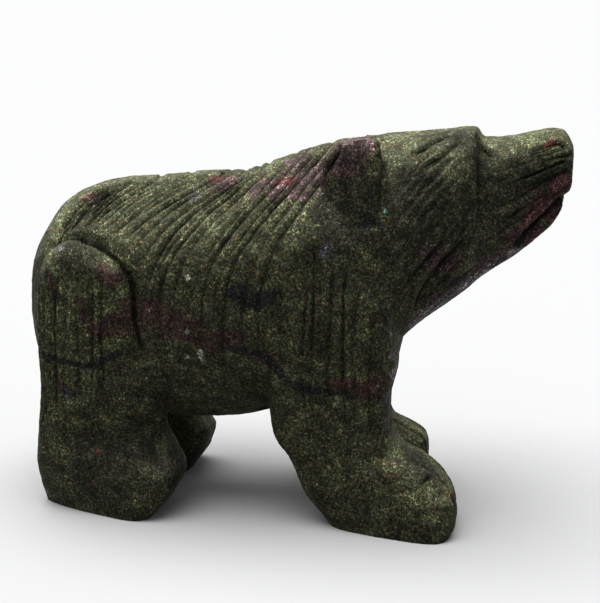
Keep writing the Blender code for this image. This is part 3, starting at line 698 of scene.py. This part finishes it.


# Colour in the stone, with some painted shade and light, in millimetres in the frame of the tables above.
# Round patches: place and radius
PATCHES = {
    # Moss: paler green on the thigh, partly stone colour and partly painted light
    "moss_and_light": [
        ((-19.5, -9.6, 21.5), 5.0),
        ((-21.0, -9.6, 14.5), 3.5),
    ],
    # Umber: partly dark stone and partly painted shade, on the head, the ear, the thigh and the feet
    "umber_and_shade": [
        ((3.6, -7.6, 31.0), 2.4),
        ((6.8, -7.8, 31.8), 2.6),
        ((5.0, -8.6, 28.4), 2.4),
        ((-19.6, -8.6, 26.0), 2.4),
        ((14.6, -2.6, 36.8), 2.2),
        ((17.0, -3.6, 35.6), 1.8),
        ((12.5, -7.4, 31.5), 4.2),
        ((15.5, -6.5, 29.5), 4.0),
        ((11.0, -7.6, 27.5), 3.0),
        ((20.0, -4.2, 31.0), 3.6),
        ((22.6, -4.0, 33.2), 2.6),
        ((-12.4, -8.8, 13.4), 2.4),
        ((-17.5, -9.6, 4.8), 4.2),
        ((12.8, -7.8, 6.6), 2.4),
        ((-12.4, -8.4, 7.6), 3.0),
        ((-11.2, -8.0, 4.6), 2.8),
    ],
    "maroon": [
        ((-13.0, 9.4, 17.0), 2.0),
        ((-9.0, 9.4, 16.0), 1.8),
        ((-5.0, 9.4, 15.4), 1.2),
        ((4.0, 9.4, 18.0), 1.5),
        ((-19.5, -3.6, 30.2), 1.2),
    ],
    "purple": [
        ((6.5, 6.8, 34.0), 2.0),
        ((6.0, -6.6, 36.2), 2.4),
        ((4.8, -6.8, 34.4), 1.5),
        ((2.8, -5.0, 33.6), 2.2),
        ((5.0, -5.4, 35.4), 1.6),
        ((0.3, -2.5, 34.4), 1.8),
        ((0.8, -5.4, 32.2), 1.7),
        ((-1.2, -4.9, 32.1), 1.6),
        ((-3.2, -4.5, 31.7), 1.2),
        ((14.9, -6.0, 25.6), 1.4),
        ((13.4, -6.9, 26.2), 1.3),
        ((16.0, -3.8, 23.1), 1.4),
        ((18.2, -2.8, 24.5), 1.4),
        ((14.0, -4.5, 21.6), 1.3),
        ((12.2, -4.2, 19.8), 1.2),
        ((19.8, -2.7, 25.6), 1.3),
        ((-7.0, -2.6, 32.2), 1.6),
        ((-14.6, -7.4, 21.6), 0.7),
    ],
    "burgundy": [
        ((24.8, 3.6, 32.2), 1.2),
        ((22.8, 3.6, 30.2), 1.2),
        ((21.2, 3.4, 28.2), 1.1),
        ((25.0, -3.8, 32.6), 1.2),
        ((23.4, -3.8, 31.0), 1.2),
        ((22.2, -3.6, 29.6), 1.2),
        ((20.9, -3.5, 28.0), 1.2),
        ((24.4, -2.9, 30.2), 1.2),
        ((22.6, -2.5, 27.8), 1.2),
    ],
    "blue": [
        ((-9.3, -4.2, 30.7), 0.9),
        ((4.0, -9.2, 27.0), 0.8),
        ((-20.9, -9.6, 12.2), 0.6),
    ],
    # Black: partly black stone and partly painted shade, as in the hollow under the ear
    "black_and_shade": [
        ((-16.0, 9.6, 12.0), 1.2),
        ((2.0, 9.4, 24.0), 1.0),
        ((-4.2, -9.2, 22.8), 1.1),
        ((-3.0, -9.3, 22.2), 1.4),
        ((-1.6, -9.3, 22.4), 1.1),
        ((-0.4, -9.4, 22.8), 0.6),
        ((9.6, -8.0, 20.4), 0.7),
        ((7.6, -7.8, 29.4), 1.0),
    ],
    "chalk": [
        ((-9.3, -8.2, 25.9), 0.26),
        ((-9.0, -9.1, 24.0), 0.38),
        ((-9.1, -9.5, 18.8), 0.30),
        ((-9.1, -9.5, 17.8), 0.26),
        ((-9.2, -9.4, 16.4), 0.34),
        ((-7.8, -9.4, 16.9), 0.34),
        ((-7.8, -9.3, 16.1), 0.36),
        ((-6.4, -9.3, 15.6), 0.28),
    ],
    # Ash: partly pale grey stone and partly painted light, on the foreleg's front edge and the haunch's rim
    "ash_and_light": [
        ((10.3, -7.6, 19.2), 0.9),
        ((10.2, -7.6, 17.2), 0.9),
        ((9.9, -7.6, 15.2), 0.9),
        ((9.6, -7.6, 13.0), 0.9),
        ((9.6, -7.6, 10.8), 0.8),
        ((-21.3, -8.4, 26.4), 0.6),
    ],
    "teal": [
        ((9.2, -7.6, 30.4), 0.32),
    ],
    "orange": [
        ((6.4, -7.9, 29.8), 0.24),
    ],
    "red": [
        ((-1.1, -4.5, 32.4), 0.55),
        ((0.0, -4.7, 32.5), 0.65),
        ((-8.2, -2.3, 31.9), 0.6),
        ((-7.2, -2.0, 32.3), 0.8),
        ((7.7, -9.3, 13.9), 0.42),
        ((-18.1, -9.2, 6.4), 0.35),
        ((-12.1, -6.8, 10.7), 0.35),
        ((23.6, -3.0, 36.6), 0.5),
        ((16.0, -7.4, 3.4), 0.5),
        ((16.3, -7.6, 1.6), 0.5),
    ],
}

# Veins on the sides, and lines of painted shade and light: x, z and half width at points along each
VEINS = {
    "maroon": [
        [(-14.6, 20.9, 1.0), (-13.0, 20.7, 1.3), (-11.0, 19.9, 1.6), (-9.3, 19.2, 1.5)],
        [(-8.3, 18.6, 0.8), (-7.2, 17.9, 1.1), (-6.0, 18.2, 1.2), (-4.8, 18.4, 1.1)],
        [(-3.8, 16.9, 0.5), (-2.2, 16.6, 0.8), (-0.8, 16.0, 0.7)],
        [(4.4, 14.4, 0.3), (5.9, 14.3, 1.0), (7.7, 13.9, 1.1), (9.3, 14.9, 0.9)],
        [(-22.4, 23.8, 0.4), (-21.6, 22.2, 0.6)],
        [(-17.2, 24.3, 0.7), (-16.0, 23.6, 0.9)],
        [(-19.0, 21.4, 0.6), (-18.5, 19.8, 0.7)],
        [(-17.8, 18.6, 0.8), (-15.9, 19.4, 1.1), (-14.2, 19.4, 1.2)],
        [(-22.0, 14.6, 0.5), (-21.4, 12.6, 0.6)],
    ],
    # Rose lines on the lips' edges: partly red stone and partly painted highlight
    "rose_and_highlight": [
        [(25.4, 32.0, 0.15), (23.9, 31.4, 0.16), (22.5, 30.1, 0.16), (21.2, 28.4, 0.14)],
        [(24.9, 29.3, 0.18), (23.4, 27.9, 0.18), (21.9, 26.7, 0.16)],
    ],
    # Ash line: partly pale grey stone and partly painted light under the jaw
    "ash_and_light": [
        [(21.0, 26.3, 0.3), (18.4, 24.5, 0.45), (16.8, 23.2, 0.5), (13.6, 20.9, 0.5), (11.5, 19.0, 0.4)],
    ],
    "black_and_shade": [
        # The first black line is painted shade in the open mouth; the others are black veins
        [(25.0, 31.0, 0.25), (23.6, 29.6, 0.40), (22.2, 28.1, 0.40), (21.2, 26.9, 0.30)],
        [(-23.6, 15.8, 0.3), (-21.4, 15.6, 0.4), (-18.6, 15.2, 0.3), (-15.6, 16.6, 0.4)],
        [(-4.8, 17.4, 0.3), (-2.4, 17.0, 0.4), (-1.2, 16.1, 0.45), (0.2, 14.8, 0.40), (1.6, 14.0, 0.40),
         (3.6, 13.7, 0.35), (6.4, 13.5, 0.35)],
    ],
}

# The stone is green, browner in places. Each kind of patch or vein has a colour of its own, and later
# kinds lie over earlier ones.
GREEN = (0.0214, 0.0245, 0.0124, 1)
BROWN = (0.0255, 0.0224, 0.0122, 1)
TINTS = {
    "moss_and_light": (0.0330, 0.0360, 0.0180, 1),
    "umber_and_shade": (0.0150, 0.0150, 0.0095, 1),
    "maroon": (0.0220, 0.0134, 0.0114, 1),
    "purple": (0.0290, 0.0186, 0.0192, 1),
    "burgundy": (0.0330, 0.0150, 0.0158, 1),
    "blue": (0.0236, 0.0220, 0.0236, 1),
    "black_and_shade": (0.0066, 0.0072, 0.0068, 1),
    "chalk": (0.1200, 0.1240, 0.1040, 1),
    "ash_and_light": (0.0560, 0.0500, 0.0510, 1),
    "rose_and_highlight": (0.0700, 0.0300, 0.0300, 1),
    "teal": (0.0240, 0.0400, 0.0340, 1),
    "orange": (0.1040, 0.0336, 0.0128, 1),
    "red": (0.0385, 0.0116, 0.0105, 1),
}

# A patch or vein has this strength in its middle, and fades to nothing this many times its reach away
MIDDLE_STRENGTH = 1.5

# Veins lie on the near side: where y of the stone's normal is below this
NEAR_SIDE = -0.2

# Noises: size in millimetres, detail, roughness, and a shift that sets each apart from the others
BROWN_NOISE = (0.7, 3.0, 0.6, 9.0)
PATCH_NOISE = (1.0, 5.0, 0.7, 5.0)
PIT_NOISES = [(0.18, 3.0, 0.7, 11.0), (0.6, 2.0, 0.5, 4.0)]

# The noise at which brown starts and is whole
BROWN_STEP = (0.44, 0.62)

# How much noise changes the strength of a patch or vein, the changed strengths at which it starts and is
# whole, and the unchanged ones below which it is held back
PATCH_RAGGED = 2.6
PATCH_STEP = (0.45, 0.75)
PATCH_REACH = (0.0, 0.25)

# The grain: sizes in millimetres, and how many times brighter its light parts are than its dark ones.
# The swing turns the noise's usual way from 0.3 to 0.7 into one from -0.5 to 0.5.
GRAINS = [(0.10, 24.0), (0.26, 9.5), (1.4, 3.6), (4.0, 2.0)]
GRAIN_DETAIL = 2.0
GRAIN_ROUGHNESS = 0.6
GRAIN_SWING = 2.5

# Specks all over the stone: colour, size in millimetres, detail and shift of their noise, and the noise at
# which they start and are whole
SPECKS = {
    "rust": ((0.0360, 0.0184, 0.0088, 1), 0.45, 2.0, 13.0, 0.68, 0.78),
    "ochre": ((0.0640, 0.0560, 0.0256, 1), 0.22, 1.0, 17.0, 0.60, 0.72),
    "pale": ((0.1520, 0.1560, 0.1320, 1), 0.20, 1.0, 21.0, 0.72, 0.80),
}

# Faces that look up are paler, partly with handling and partly with painted top light: how many times
# brighter, and z of the normals at which the wear and the painted light start and are whole
UNWORN_AND_UNLIT = (1.0, 1.0, 1.0, 1)
WORN_AND_TOP_LIT = (4.2, 4.2, 4.5, 1)
WORN_AND_TOP_LIT_STEP = (0.20, 0.75)

# Umber parts, partly painted shade, keep this share of the wear and painted top light. It falls to the
# share between these strengths of umber.
UMBER_AND_SHADE_WORN = 0.45
UMBER_AND_SHADE_STEP = (0.1, 0.9)

# Pale dust and painted top light over the faces that look up, and its share
DUST_AND_TOP_LIGHT = (0.0850, 0.0860, 0.0560, 1)
DUST_AND_TOP_LIGHT_SHARE = 0.40

# Dirt and painted shade leave this share of the brightness where they are whole. They start and are whole at
# these depths, in millimetres.
DIRT_AND_SHADE_SHARE = 0.26
DIRT_AND_SHADE_STEP = (0.04, 0.40)

# The shine, and how rough the green and the brown parts are
SPECULAR = 0.16
ROUGHNESS = (0.60, 0.80)

# The pits of the surface: how strongly they show, and how deep they are in millimetres
PIT_STRENGTH = 0.6
PIT_DEPTH = 0.06

# The surface is a little uneven: size of the lumps and height, in millimetres
UNEVEN = [(3.0, 0.10), (1.1, 0.05), (0.45, 0.03)]


def add_value(mesh, name, values):
    """Store one number at each point of the mesh, under this name."""
    layer = mesh.attributes.new(name, "FLOAT", "POINT")
    layer.data.foreach_set("value", np.asarray(values, np.float32))


def stronger(strength, away, reach):
    """The strength, raised near a place by how far away the points are."""
    return np.maximum(strength, np.clip(MIDDLE_STRENGTH - away / reach, 0, MIDDLE_STRENGTH))


def patch_strength(points, patches):
    """How strongly each point belongs to the patches."""
    strength = np.zeros(len(points))
    for place, radius in patches:
        strength = stronger(strength, np.linalg.norm(points - np.array(place), axis=1), radius)
    return strength


def vein_strength(points, normals, veins):
    """How strongly each point of the near side belongs to the veins."""
    strength = np.zeros(len(points))
    flat = points[:, (0, 2)]
    for vein in veins:
        for x, z, half_width in curve_through(vein, PATH_STEP):
            strength = stronger(strength, np.linalg.norm(flat - (x, z), axis=1), half_width)
    return strength * (normals[:, 1] < NEAR_SIDE)


def uneven(mesh):
    """Push the surface in and out by small lumps."""
    points, normals = points_and_normals(mesh)
    push = np.zeros(len(points))
    for size, height in UNEVEN:
        push += height * noise_at(points, size)
    mesh.vertices.foreach_set("co", (points + normals * push[:, None]).ravel())
    mesh.update()


def make_bear():
    """The bear with its dirt and painted shade, wear and painted top light, patches and veins stored at its
    points.
    """
    body = evaluated(rough_forms(), "rough", join_forms)
    uneven(body)
    points, normals = points_and_normals(body)
    dirt_and_shade = carve(body)
    add_value(body, "dirt_and_shade", dirt_and_shade)
    # How much each face looks up: it sets the wear and the painted top light
    add_value(body, "worn_and_top_lit", np.clip(normals[:, 2], 0, 1))
    for name in TINTS:
        strength = patch_strength(points, PATCHES.get(name, []))
        strength = np.maximum(strength, vein_strength(points, normals, VEINS.get(name, [])))
        add_value(body, name, strength)
    body = evaluated(body, "carved", fewer_faces)
    flat_soles(body)
    body.shade_smooth()
    body.set_sharp_from_angle(angle=math.radians(SHARP_ANGLE))
    bear = bpy.data.objects.new("carved_bear", body)
    bpy.context.scene.collection.objects.link(bear)
    return bear


def node(tree, kind, inputs=None, **settings):
    """A shader node with its settings, and its inputs either linked or set by name or number."""
    made = tree.nodes.new("ShaderNode" + kind)
    for name, value in settings.items():
        setattr(made, name, value)
    for name, value in (inputs or {}).items():
        if isinstance(value, bpy.types.NodeSocket):
            tree.links.new(value, made.inputs[name])
        else:
            made.inputs[name].default_value = value
    return made


def blend(tree, share, first, second, kind="MIX"):
    """First colour where share is 0, second where it is 1."""
    return node(tree, "Mix", {0: share, 6: first, 7: second}, data_type="RGBA", blend_type=kind).outputs[2]


def maths(tree, operation, first, second):
    """The result of one operation on two values."""
    return node(tree, "Math", {0: first, 1: second}, operation=operation).outputs[0]


def grain(tree, place, size, detail=2.0, roughness=0.5, shift=0.0):
    """Noise from 0 to 1 whose lumps are about size millimetres across."""
    moved = node(tree, "VectorMath", {0: place, 1: (shift, shift, shift)}).outputs[0]
    made = node(
        tree,
        "TexNoise",
        {"Vector": moved, "Scale": 1 / (size * MILLIMETRE), "Detail": detail, "Roughness": roughness},
    )
    return made.outputs["Fac"]


def step_up(tree, value, start, end):
    """0 below start, 1 above end, smooth between."""
    return node(
        tree,
        "MapRange",
        {"Value": value, "From Min": start, "From Max": end},
        interpolation_type="SMOOTHSTEP",
    ).outputs["Result"]


def stored(tree, name):
    """The value that is stored under this name."""
    return node(tree, "Attribute", attribute_name=name).outputs["Fac"]


def ranged(tree, value, low, high):
    """Low where the value is 0, high where it is 1."""
    return node(tree, "MapRange", {"Value": value, "To Min": low, "To Max": high}).outputs["Result"]


def grain_brightness(tree, place):
    """The product of the grains' brightnesses, about 1 on average."""
    brightness = 1.0
    for step, (size, spread) in enumerate(GRAINS):
        wave = maths(tree, "SUBTRACT", grain(tree, place, size, GRAIN_DETAIL, GRAIN_ROUGHNESS, step), 0.5)
        wave = maths(tree, "MULTIPLY", wave, GRAIN_SWING)
        brightness = maths(tree, "MULTIPLY", maths(tree, "POWER", spread, wave), brightness)
    return brightness


def tinted(tree, place, colour):
    """The colour with its patches and veins, whose edges are ragged."""
    ragged = maths(tree, "SUBTRACT", grain(tree, place, *PATCH_NOISE), 0.5)
    ragged = maths(tree, "MULTIPLY", ragged, PATCH_RAGGED)
    for name, tint in TINTS.items():
        here = stored(tree, name)
        share = step_up(tree, maths(tree, "ADD", here, ragged), *PATCH_STEP)
        share = maths(tree, "MULTIPLY", share, step_up(tree, here, *PATCH_REACH))
        colour = blend(tree, share, colour, tint)
    return colour


def specked(tree, place, colour, kind):
    """The colour with one kind of speck."""
    tint, size, detail, shift, start, whole = SPECKS[kind]
    share = step_up(tree, grain(tree, place, size, detail, shift=shift), start, whole)
    return blend(tree, share, colour, tint)


def multiplied(tree, colour, times):
    """The colour made this many times brighter."""
    return blend(tree, 1.0, colour, times, "MULTIPLY")


def worn_and_top_lit_share(tree):
    """Wear and painted top light: 1 where the stone looks up, 0 where it doesn't, and less on umber parts.
    """
    upward = step_up(tree, stored(tree, "worn_and_top_lit"), *WORN_AND_TOP_LIT_STEP)
    umber_and_shade = step_up(tree, stored(tree, "umber_and_shade"), *UMBER_AND_SHADE_STEP)
    return maths(tree, "MULTIPLY", upward, ranged(tree, umber_and_shade, 1.0, UMBER_AND_SHADE_WORN))


def stone_colour(tree, place, browner):
    """Green and brown with patches, specks, grain, wear and painted top light, and dirt and painted shade in
    the cuts.
    """
    colour = tinted(tree, place, blend(tree, browner, GREEN, BROWN))
    colour = specked(tree, place, colour, "rust")
    colour = multiplied(tree, colour, grain_brightness(tree, place))
    # Faces that look up are made paler and dustier: partly wear and dust, partly painted top light
    worn_and_top_lit = worn_and_top_lit_share(tree)
    colour = multiplied(tree, colour, blend(tree, worn_and_top_lit, UNWORN_AND_UNLIT, WORN_AND_TOP_LIT))
    colour = blend(tree, maths(tree, "MULTIPLY", worn_and_top_lit, DUST_AND_TOP_LIGHT_SHARE), colour, DUST_AND_TOP_LIGHT)
    colour = specked(tree, place, colour, "ochre")
    colour = specked(tree, place, colour, "pale")
    # The cuts are darker where they are deep: dirt, and painted shade
    dirty_and_shaded = step_up(tree, stored(tree, "dirt_and_shade"), *DIRT_AND_SHADE_STEP)
    return multiplied(tree, colour, ranged(tree, dirty_and_shaded, 1.0, DIRT_AND_SHADE_SHARE))


def green_stone():
    """The stone: its colour, its shine and its small pits."""
    material = bpy.data.materials.new("green_stone")
    material.use_nodes = True
    tree = material.node_tree
    surface = tree.nodes["Principled BSDF"]
    place = node(tree, "TexCoord").outputs["Object"]
    browner = step_up(tree, grain(tree, place, *BROWN_NOISE), *BROWN_STEP)
    tree.links.new(stone_colour(tree, place, browner), surface.inputs["Base Color"])
    tree.links.new(ranged(tree, browner, *ROUGHNESS), surface.inputs["Roughness"])
    surface.inputs["Specular IOR Level"].default_value = SPECULAR
    pits = maths(tree, "ADD", *(grain(tree, place, *pit_noise) for pit_noise in PIT_NOISES))
    depth = PIT_DEPTH * MILLIMETRE
    bump = node(tree, "Bump", {"Height": pits, "Strength": PIT_STRENGTH, "Distance": depth})
    tree.links.new(bump.outputs["Normal"], surface.inputs["Normal"])
    return material


# A wide pale table, in metres
TABLE_RADIUS = 4.0
TABLE_POINTS = 96
TABLE_COLOUR = (0.425, 0.425, 0.425, 1)
TABLE_ROUGHNESS = 0.9
TABLE_SPECULAR = 0.1

# A soft light overhead that comes a little from the rear, in degrees, and a pale room round it
SUN_TILT = 10
SUN_SPREAD = 70
SUN_STRENGTH = 5.0
ROOM_COLOUR = (0.98, 0.985, 1.0, 1)
ROOM_STRENGTH = 0.75

# The gamma of the view
DISPLAY_GAMMA = 0.8

# The camera, in millimetres and degrees. It looks down at the target from the bear's right, a little ahead.
# Its focal length is in pixels of the picture.
CAMERA_AZIMUTH = 10
CAMERA_ELEVATION = 13.6
CAMERA_DISTANCE = 154
CAMERA_TARGET = (0.30, 0.385, 19.9)
CAMERA_FOCUS = 1570.8
PICTURE_SIZE = (600, 603)
SENSOR = 36
CLIP_START = 10


def pale_table():
    """The ground that the bear stands on."""
    bm = bmesh.new()
    bmesh.ops.create_circle(bm, cap_ends=True, radius=TABLE_RADIUS, segments=TABLE_POINTS)
    mesh = bpy.data.meshes.new("table_top")
    bm.to_mesh(mesh)
    bm.free()
    table = bpy.data.objects.new("table_top", mesh)
    bpy.context.scene.collection.objects.link(table)
    material = bpy.data.materials.new("table_white")
    material.use_nodes = True
    surface = material.node_tree.nodes["Principled BSDF"]
    surface.inputs["Base Color"].default_value = TABLE_COLOUR
    surface.inputs["Roughness"].default_value = TABLE_ROUGHNESS
    surface.inputs["Specular IOR Level"].default_value = TABLE_SPECULAR
    mesh.materials.append(material)


def overhead_light():
    """The soft light overhead."""
    data = bpy.data.lights.new("overhead", "SUN")
    data.energy = SUN_STRENGTH
    data.angle = math.radians(SUN_SPREAD)
    light = bpy.data.objects.new("overhead", data)
    light.rotation_euler = (0, math.radians(-SUN_TILT), 0)
    bpy.context.scene.collection.objects.link(light)


def pale_room():
    """The light that comes from all round."""
    world = bpy.data.worlds.new("pale_room")
    world.use_nodes = True
    background = world.node_tree.nodes["Background"]
    background.inputs["Color"].default_value = ROOM_COLOUR
    background.inputs["Strength"].default_value = ROOM_STRENGTH
    bpy.context.scene.world = world


def camera():
    """The camera, pointed at the target from its azimuth and elevation."""
    azimuth, elevation = math.radians(CAMERA_AZIMUTH), math.radians(CAMERA_ELEVATION)
    back = Vector((
        math.sin(azimuth) * math.cos(elevation),
        -math.cos(azimuth) * math.cos(elevation),
        math.sin(elevation),
    ))
    data = bpy.data.cameras.new("camera")
    data.sensor_width = SENSOR
    data.lens = SENSOR * CAMERA_FOCUS / max(PICTURE_SIZE)
    data.clip_start = CLIP_START * MILLIMETRE
    data.clip_end = 3 * TABLE_RADIUS
    view = bpy.data.objects.new("camera", data)
    view.location = (Vector(CAMERA_TARGET) + CAMERA_DISTANCE * back) * MILLIMETRE
    view.rotation_euler = (-back).to_track_quat("-Z", "Y").to_euler()
    bpy.context.scene.collection.objects.link(view)
    bpy.context.scene.camera = view


bear = make_bear()
bear.data.materials.append(green_stone())
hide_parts("bear")
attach(bear, "root")

pale_table()
overhead_light()
pale_room()
camera()
bpy.context.scene.view_settings.view_transform = "Standard"
bpy.context.scene.view_settings.gamma = DISPLAY_GAMMA
